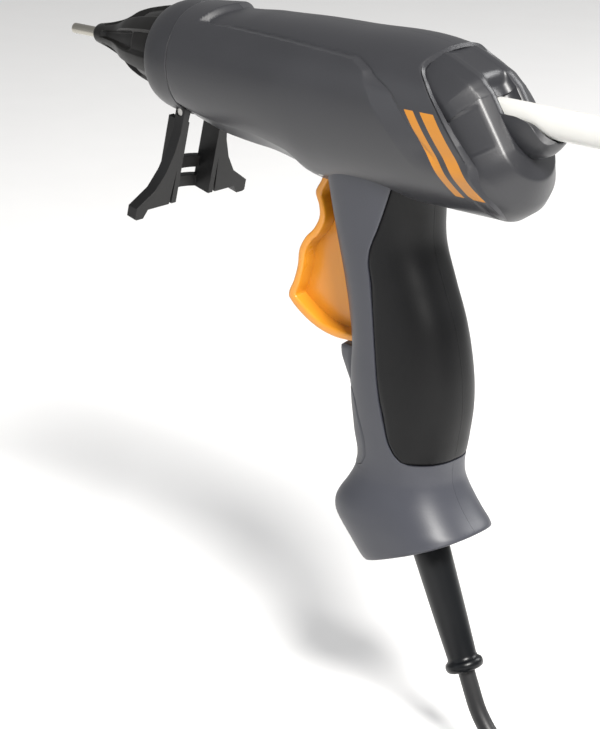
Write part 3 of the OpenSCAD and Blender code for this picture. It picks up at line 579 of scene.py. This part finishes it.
# Plate between the rim and the block
angle = np.linspace(0, 2 * np.pi, 160, endpoint=False)
wallAngle = np.where(angle > np.pi, 2 * np.pi - angle, angle)
edge = bodySkin(rimPlace(wallAngle) + 5.5, wallAngle, 2.0, False)
edge[:, 1] *= np.where(angle > np.pi, -1, 1)
middle = np.array([-36, 0, 98.0])
plateRows = [middle + (edge - middle) * t for t in (0, 0.4, 0.7, 1)]
plateRows += [row + np.array([2.0, 0, 0]) for row in plateRows[::-1]]
gridPiece("rearPlate", np.stack(plateRows, 0), "housing", shadedBodyGrey, wrapColumns=True)

# Cradle under the stick: a trough about the barrel axis whose rim falls towards its tip
cradlePlan = {
    "inner": 6.3, "start": -46, "tip": -68.2,
    "spreadAt": [-68.2, -66, -62, -56, -50, -46], "spread": [34, 50, 84, 98, 100, 100],
    "outerAt": [-68.2, -67.2, -65, -60, -46], "outer": [6.9, 7.5, 8.1, 8.7, 8.9],
}
x = np.linspace(cradlePlan["start"], cradlePlan["tip"], 36)[:, None]
spread = np.radians(through(cradlePlan["spreadAt"], cradlePlan["spread"], x))
swing = np.linspace(-1, 1, 41)[None, :]
outer = through(cradlePlan["outerAt"], cradlePlan["outer"], x)
deep = through([-68.2, -67.2, -65, -61, -58, -46], [6.9, 8.4, 10.8, 12.9, 13.6, 13.8], x)
outerSheet = np.stack([x + 0 * swing, outer * np.sin(swing * spread),
                       barrelAxis - deep * np.cos(swing * spread)], -1)
innerSheet = np.stack([x + 0 * swing, cradlePlan["inner"] * np.sin(swing * spread),
                       barrelAxis - cradlePlan["inner"] * np.cos(swing * spread)], -1)[:, ::-1]
gridPiece("stickCradle", np.concatenate([outerSheet, innerSheet], 1), "housing", shadedBodyGrey,
          wrapColumns=True, caps="rows", sharpAngle=40, bevel=0.35)
print("rear cap made")

# Handle

handlePlan = {
    # stations from the top down: middle height, ends of the line from front to back, and half the width
    "height": [78, 62, 50, 35, 21, 10, -2, -12, -24, -36,
               -40, -45, -50, -53.5, -56.5, -59, -62.5, -66, -67.3],
    "frontX": [34.4, 31.2, 28.2, 24.6, 22.0, 20.6, 21.0, 20.6, 19.0, 17.2,
               18.6, 21.8, 25.0, 26.7, 27.0, 25.6, 18.6, 11.9, 10.6],
    "frontZ": [78, 62, 50, 35, 21, 10, -2, -12, -24, -36,
               -40.5, -46, -50.4, -53.6, -57, -60, -68, -75.2, -76.1],
    "backX": [-14, -12.2, -12.4, -17.4, -22.8, -25.4, -27, -27, -25.2, -23,
              -23.2, -24.6, -27, -29.6, -32, -33.8, -34.6, -34.3, -33.6],
    "backZ": [78, 62, 50, 35, 21, 10, -2, -12, -24, -36,
              -39.5, -43.6, -48, -51.6, -54.4, -56.2, -57.4, -58.0, -58.5],
    "half": [18, 17.2, 17, 17, 17.2, 17.6, 18, 18, 17.6, 17.5,
             18, 19.4, 20.9, 21.7, 22.1, 22.3, 22.3, 22.1, 21.6],
    "power": 2.5, "slotHalf": 9.2, "slotFloor": 6.2, "slotBack": -8, "seamGap": 0.04,
    "gripKeys": [-31.2, -30.6, -29, -25.8, -17, -7.8, 11.7, 37.5, 44, 47, 57.7, 71.4, 78],
    "gripEdge": [-16, -12.6, -9.6, -6.8, -3.6, -1.3, 1.6, 4.5, 5.3, 4.9, 0.8, -3.9, -6],
    "trimKeys": [-38.4, -37, -34, -29, -17.5, -10, -7.6],
    "trimEdge": [17, 10.5, 6.6, 5.6, 9.2, 12.6, 14.6],
    "gripTop": 76, "gripBottom": -31, "trimTop": -7.6, "trimBottom": -38.2,
    "sunk": 1.5, "trimSunk": 0.9,
    "ledgeKeys": [6.2, 5.4, 3, -3, -9, -14], "ledge": [4.6, 6.2, 6.6, 4.4, 1.4, 0], "ledgeSides": (10.5, 6.5),
}


# One of the handle's measures at a height, read off the smooth curve through its stations
def handleAt(key, height):
    return through(handlePlan["height"], handlePlan[key], height)


# Point of the handle: a squared oval across the line from the front to the back of each station
def handleSkin(height, angle, inset):
    power = handlePlan["power"]
    frontX, frontZ, backX, backZ, half = (handleAt(key, height)
                                          for key in ("frontX", "frontZ", "backX", "backZ", "half"))
    c, s = np.cos(angle), np.sin(angle)
    k = np.sign(c) * np.abs(c) ** (2 / power)
    q = np.abs(s) ** (2 / power)
    length = np.hypot(frontX - backX, frontZ - backZ) / 2
    k = k * (length - inset) / length
    return np.stack([(frontX + backX) / 2 + (frontX - backX) / 2 * k, (half - inset) * q,
                     (frontZ + backZ) / 2 + (frontZ - backZ) / 2 * k], -1)


# Angle at which the handle's skin passes a place along X: cos(angle) = k ^ (power / 2), where k is the place's
# share of the way from the middle to the front
def angleAtX(height, x):
    frontX, backX = handleAt("frontX", height), handleAt("backX", height)
    k = np.clip((x - (frontX + backX) / 2) / ((frontX - backX) / 2), -0.999, 0.999)
    return np.arccos(np.sign(k) * np.abs(k) ** (handlePlan["power"] / 2))


# Angle at which the handle's skin has a half width y: sin(angle) = (y / half) ^ (power / 2)
def angleAtY(height, y):
    return np.arcsin(np.clip((y / handleAt("half", height)) ** (handlePlan["power"] / 2), 0, 1))


# One half of the handle: slot wall or front, trim recess, side strip, grip recess and back, row by row
def handlePoints(side):
    h = handlePlan
    step = 0.01
    keys = [h["slotFloor"], h["gripBottom"], h["trimTop"], h["trimBottom"]]
    heights = np.concatenate([np.linspace(h["height"][0], h["height"][-1], 150)]
                             + [[k + step, k - step] for k in keys])
    heights = np.sort(heights)[::-1][:, None]
    slotAngle = angleAtY(heights, h["slotHalf"])
    gripAngle = angleAtX(heights, through(h["gripKeys"], h["gripEdge"], heights))
    trimAngle = angleAtX(heights, through(h["trimKeys"], h["trimEdge"], heights))
    trimAngle = np.clip(trimAngle, slotAngle * 0.7, gripAngle - 0.12)
    inTrim = (heights < h["trimTop"]) & (heights > h["trimBottom"])
    inGrip = heights > h["gripBottom"]
    slotted = heights > h["slotFloor"]
    front = np.linspace(0, 1, 16)[None, :]
    trimInset = np.where(inTrim, h["trimSunk"], 0.0)
    gripInset = np.where(inGrip, h["sunk"], 0.0)
    first = handleSkin(heights, np.minimum(slotAngle, trimAngle) * front, trimInset + 0 * front)
    bump = through(h["ledgeKeys"][::-1], h["ledge"][::-1], heights) * (heights < h["slotFloor"])
    first[..., 0] += bump * ease(first[..., 1], *h["ledgeSides"])
    edge = handleSkin(heights, slotAngle, 0 * slotAngle)
    wall = np.stack([h["slotBack"] + (edge[..., 0] - h["slotBack"]) * front,
                     h["slotHalf"] + 0 * front * heights, heights + 0 * front], -1)
    first = np.where(slotted[..., None], wall, first)
    start = np.minimum(slotAngle, trimAngle)
    start = np.where(slotted, slotAngle, start)
    across = np.linspace(0, 1, 12)[None, :]
    second = handleSkin(heights, start + (trimAngle - start) * across, trimInset + 0 * across)
    strip = np.linspace(0, 1, 22)[None, :]
    third = handleSkin(heights, trimAngle + (gripAngle - trimAngle) * strip, 0 * strip)
    third[:, -1] = handleSkin(heights, gripAngle, 0.25 * inGrip)[:, 0]
    back = np.linspace(0, 1, 46)[None, :]
    fourth = handleSkin(heights, gripAngle + (np.pi - gripAngle) * back, gripInset + 0 * back)
    points = np.concatenate([first, second, third, fourth], 1)
    points[..., 1] = np.maximum(points[..., 1], h["seamGap"]) * side
    return points


for side, name in ((1, "handleLeft"), (-1, "handleRight")):
    gridPiece(name, handlePoints(side), "housing", handleGrey, wrapColumns=True, caps="rows",
              sharpAngle=40)


# Soft grip: skin over the recess whose edges roll down into it, and a plain inner face
def gripPoints(side):
    h = handlePlan
    rise = np.linspace(0, 1, 130)
    heights = (h["gripBottom"] + 0.25 + (h["gripTop"] - h["gripBottom"]) * rise ** 1.3)[:, None]
    gripAngle = angleAtX(heights, through(h["gripKeys"], h["gripEdge"], heights - 0.25)) + 0.012
    back = (np.linspace(0, 1, 60) ** 1.5)[None, :]
    angles = gripAngle + (np.pi - gripAngle) * back
    fromEdge = (angles - gripAngle) * 21
    fromBottom = heights - h["gripBottom"] - 0.25
    roll = 0.95 * (1 - np.sqrt(1 - (1 - np.clip(np.minimum(fromEdge, fromBottom) / 1.3, 0, 1)) ** 2))
    outer = handleSkin(heights, angles, roll)
    inner = handleSkin(heights, angles, h["sunk"] + 0.3 + 0 * angles)[:, ::-6]
    points = np.concatenate([outer, inner], 1)
    points[..., 1] = np.maximum(points[..., 1], h["seamGap"]) * side
    return points


for side, name, node in ((1, "gripLeft", "grip_left"), (-1, "gripRight", "grip_right")):
    gridPiece(name, gripPoints(side), "housing", gripRubber, (node,), wrapColumns=True,
              caps="rows", sharpAngle=50)


# Trim strip on the handle's front: skin across both halves with rolled edges
def trimPoints():
    h = handlePlan
    heights = np.linspace(h["trimTop"] - 0.2, h["trimBottom"] + 0.2, 70)[:, None]
    limit = angleAtX(heights, through(h["trimKeys"], h["trimEdge"], heights)) - 0.012
    swing = np.linspace(-1, 1, 61)[None, :]
    angles = limit * swing
    distance = np.minimum((limit - np.abs(angles)) * 20, np.minimum(heights - h["trimBottom"] - 0.2,
                                                                    h["trimTop"] - 0.2 - heights))
    roll = 0.6 * (1 - np.sqrt(1 - (1 - np.clip(distance / 0.8, 0, 1)) ** 2))
    outer = handleSkin(heights, np.abs(angles), roll - 0.15)
    inner = handleSkin(heights, np.abs(angles), 1.2 + 0 * angles)
    bump = through(h["ledgeKeys"][::-1], h["ledge"][::-1], heights) * np.ones_like(swing)
    for sheet in (outer, inner):
        sheet[..., 0] += bump * ease(sheet[..., 1], *h["ledgeSides"])
        sheet[..., 1] *= np.sign(swing)
    return np.concatenate([outer, inner[:, ::-1]], 1)


gridPiece("frontTrim", trimPoints(), "housing", trimGrey, ("front_insert",), wrapColumns=True,
          caps="rows", sharpAngle=45)
print("handle made")

# Trigger

triggerPlan = {
    "half": 8.5, "web": 2.2,
    # front edge, edge of the side pocket and edge inside the handle, from the top down
    "lines": [(34.2, 72, 30.6, 71, 27, 71), (35.6, 68, 32.4, 67.6, 27, 66),
              (38.6, 62.2, 35.4, 62, 26.6, 60), (37.0, 58, 34.4, 58, 25.6, 57),
              (36.6, 54, 33.8, 53.4, 24.6, 53), (39.4, 48.4, 36.6, 46.9, 23.4, 48),
              (44.0, 43.7, 41.6, 41.8, 22.2, 44), (46.7, 39.2, 43.8, 37.6, 21, 39),
              (47.8, 32, 45.0, 31.2, 19.6, 33), (49.8, 25.8, 46.8, 24.8, 18, 27),
              (52.3, 20.4, 48.6, 20.2, 16.8, 21.6), (52.4, 18.8, 48.4, 19.6, 16.6, 20.6),
              (51.4, 17.6, 47.4, 18.8, 16.4, 19.8), (45.0, 12.7, 42.4, 15.6, 15.6, 17),
              (36.3, 8.9, 35.2, 12.0, 14.6, 14.4), (28.6, 7.5, 28.4, 10.8, 13.8, 12.6),
              (19.0, 7.9, 19.4, 10.6, 13, 10.6)],
    # share of the way from the pocket's edge to the front edge, and share of the half width
    "section": [(-0.35, 0.0), (0.0, 0.06), (0.0, 0.9), (0.1, 0.985), (0.3, 1.0), (0.72, 1.0), (0.9, 0.975),
                (0.98, 0.92), (1.0, 0.82), (1.015, 0.5), (1.03, 0.0)],
}


# Trigger: for each place down its edge, a section from the web over the pocket's rim to the front, mirrored
def triggerPoints():
    t = triggerPlan
    lines = np.array(t["lines"], float)
    key = np.concatenate([[0], np.cumsum(np.hypot(*np.diff(lines[:, :2], axis=0).T))])
    at = np.linspace(0, key[-1], 150)
    frontX, frontZ, pocketX, pocketZ, backX, backZ = (through(key, lines[:, k], at) for k in range(6))
    left = [(backX, t["web"] + 0 * at, backZ)]
    for share, width in t["section"]:
        y = np.maximum(width * t["half"], t["web"]) if share <= 0 else width * t["half"]
        left.append((pocketX + (frontX - pocketX) * share, y + 0 * at, pocketZ + (frontZ - pocketZ) * share))
    left = np.array(left).transpose(2, 0, 1)
    right = left[:, ::-1][:, 1:] * np.array([1, -1, 1])
    return np.concatenate([left, right], 1)


gridPiece("triggerLever", triggerPoints(), "trigger", triggerOrange, ("trigger",),
          wrapColumns=True, caps="rows", sharpAngle=60)
print("trigger made")

# Front end

collarProfile = [(103.05, 19.4), (103.05, 21.9), (103.4, 22.25), (108, 22.1), (111, 21.75), (113.5, 21.2),
                 (115.5, 20.5), (116.8, 19.9), (117.6, 19.3), (118, 18.6), (118, 18.0), (117.6, 17.3),
                 (116.6, 16.9), (108, 17.4)]
collarPoints = turned(collarProfile, (0, 0, 102.5), (1, 0, 0), (0, 1, 0), 160)
gridPiece("noseCollar", collarPoints, "housing", shadedBodyGrey, ("front_collar",), wrapRows=True,
          wrapColumns=True, sharpAngle=40)

sleevePlan = {"ribs": 6, "pocketDepth": 1.5, "finHeight": 1.5, "turn": 0.26}
sleeveProfile = np.array([(109, 15.8), (114, 15.7), (118, 15.4), (122, 14.9), (126, 14.2), (130, 13.3),
                          (134, 12.3), (138, 11.0), (141, 9.9), (144, 8.8), (147, 7.8), (150, 6.8),
                          (153, 5.9), (156, 5.1), (159, 4.5), (161, 4.1), (162.3, 3.8), (163, 3.3)])
sleeveAlong = np.linspace(sleeveProfile[0, 0], sleeveProfile[-1, 0], 120)
sleeveRadius = through(sleeveProfile[:, 0], sleeveProfile[:, 1], sleeveAlong)


# Ripple of the sleeve: sunk pockets between broad ribs on its front half, and raised shoulders behind
def sleeveRipple(along, angle):
    s = sleevePlan
    phase = np.abs(((angle / (2 * np.pi) * s["ribs"] + s["turn"]) % 1) - 0.5) * 2
    pockets = ease(phase, 0.42, 0.56) * ease(along, 131, 133.5) * ease(along, 158, 154.5)
    shoulders = ease(phase, 0.5, 0.38) * ease(along, 113, 119) * ease(along, 149, 139)
    return -s["pocketDepth"] * pockets + s["finHeight"] * shoulders


sleevePoints = turned(np.stack([sleeveAlong, sleeveRadius], -1), (0, 0, barrelAxis), (1, 0, 0), (0, 0, 1),
                      216, sleeveRipple)
innerSleeve = turned([(163, 2.25), (150, 3.6), (137, 8.4), (118, 12.8), (109, 13.2)], (0, 0, barrelAxis),
                     (1, 0, 0), (0, 0, 1), 216)
gridPiece("heatSleeve", np.concatenate([sleevePoints, innerSleeve]), "housing", heatBlack,
          ("nozzle_sleeve",), wrapRows=True, wrapColumns=True, sharpAngle=45)

tubeProfile = [(146, 1.1), (146, 2.05), (176.2, 2.1), (176.7, 2.0), (177, 1.7), (177, 1.35), (176.7, 1.1)]
gridPiece("nozzleTube", turned(tubeProfile, (0, 0, barrelAxis), (1, 0, 0), (0, 1, 0), 64), "housing",
          nozzleSteel, wrapRows=True, wrapColumns=True, sharpAngle=50)
print("front end made")

# Stick and stand

stickProfile = [(-114, 0), (-114, 2), (-113.9, 4.6), (-113.4, 5.3), (-112.8, 5.6), (86, 5.6), (86, 0)]
gridPiece("glueStick", turned(stickProfile, (0, 0, barrelAxis), (1, 0, 0), (0, 1, 0), 96), "stick",
          gluePlastic, ("glue_stick",), wrapColumns=True, sharpAngle=40)
roundedCopy("foldingStand", "stand", "stand", standBlack, 0.5)
print("stick and stand made")

# Finishes of the CAD nodes that stay

slotFinish = {"steel": innerSteel, "nozzle_steel": nozzleSteel, "chamber_aluminium": castAluminium,
              "heater_ceramic": ceramic, "inlet_silicone": silicone, "inner_black": innerBlack,
              "terminal_white": terminalWhite, "lead_insulation": leadSleeve, "cord_black": cordBlack,
              "tie_fabric": tieFabric}
for entry in frame["record"]["subparts"]:
    if entry["material_slot"] in slotFinish:
        mesh = nodes[entry["node"]].data
        mesh.materials.clear()
        mesh.materials.append(slotFinish[entry["material_slot"]])

# floor: a square a tenth of a millimetre under the cord, in metres
floorHalf, floorLevel = 8, -0.1501
floor = bpy.data.objects.new("floor", bpy.data.meshes.new("floor"))
floor.data.from_pydata([(x, y, floorLevel) for x, y in ((-floorHalf, -floorHalf), (floorHalf, -floorHalf),
                                                        (floorHalf, floorHalf), (-floorHalf, floorHalf))],
                       [], [(0, 1, 2, 3)])
floor.data.materials.append(floorPaint)
bpy.context.scene.collection.objects.link(floor)

print("scene ready")
